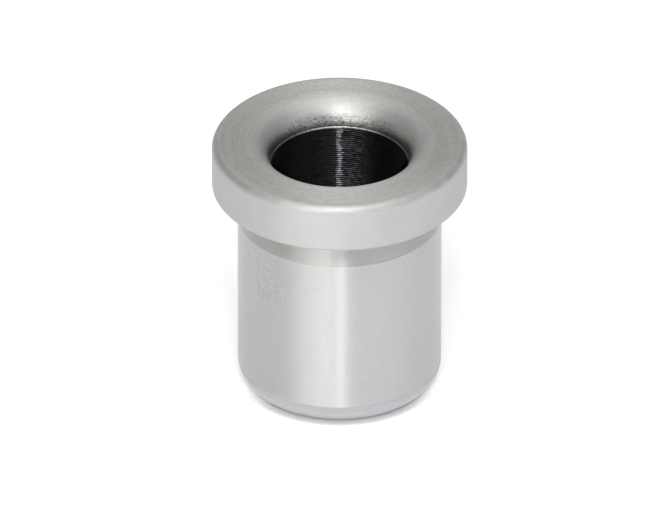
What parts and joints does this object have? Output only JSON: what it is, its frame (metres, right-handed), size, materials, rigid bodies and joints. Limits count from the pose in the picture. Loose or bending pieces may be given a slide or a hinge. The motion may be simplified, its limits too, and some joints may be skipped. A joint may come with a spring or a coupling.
{
  "type": "guide bushing",
  "caption": "Headed press-fit guide bushing: a flanged steel sleeve with a rounded lead-in to its bore, a relieved neck under the head and a rounded foot.",
  "frame": {"origin": "centre of the foot face, on the axis of the bore", "axes": "+Z along the axis of the bore, from the foot up to the head; the bushing is round about Z, so X and Y are free"},
  "size_m": [0.015, 0.015, 0.016],
  "materials": {
    "hardened_steel": "bare hardened steel, turned and ground"
  },
  "bodies": {
    "root": {"guide_bushing": "hardened_steel"}
  },
  "joints": []
}
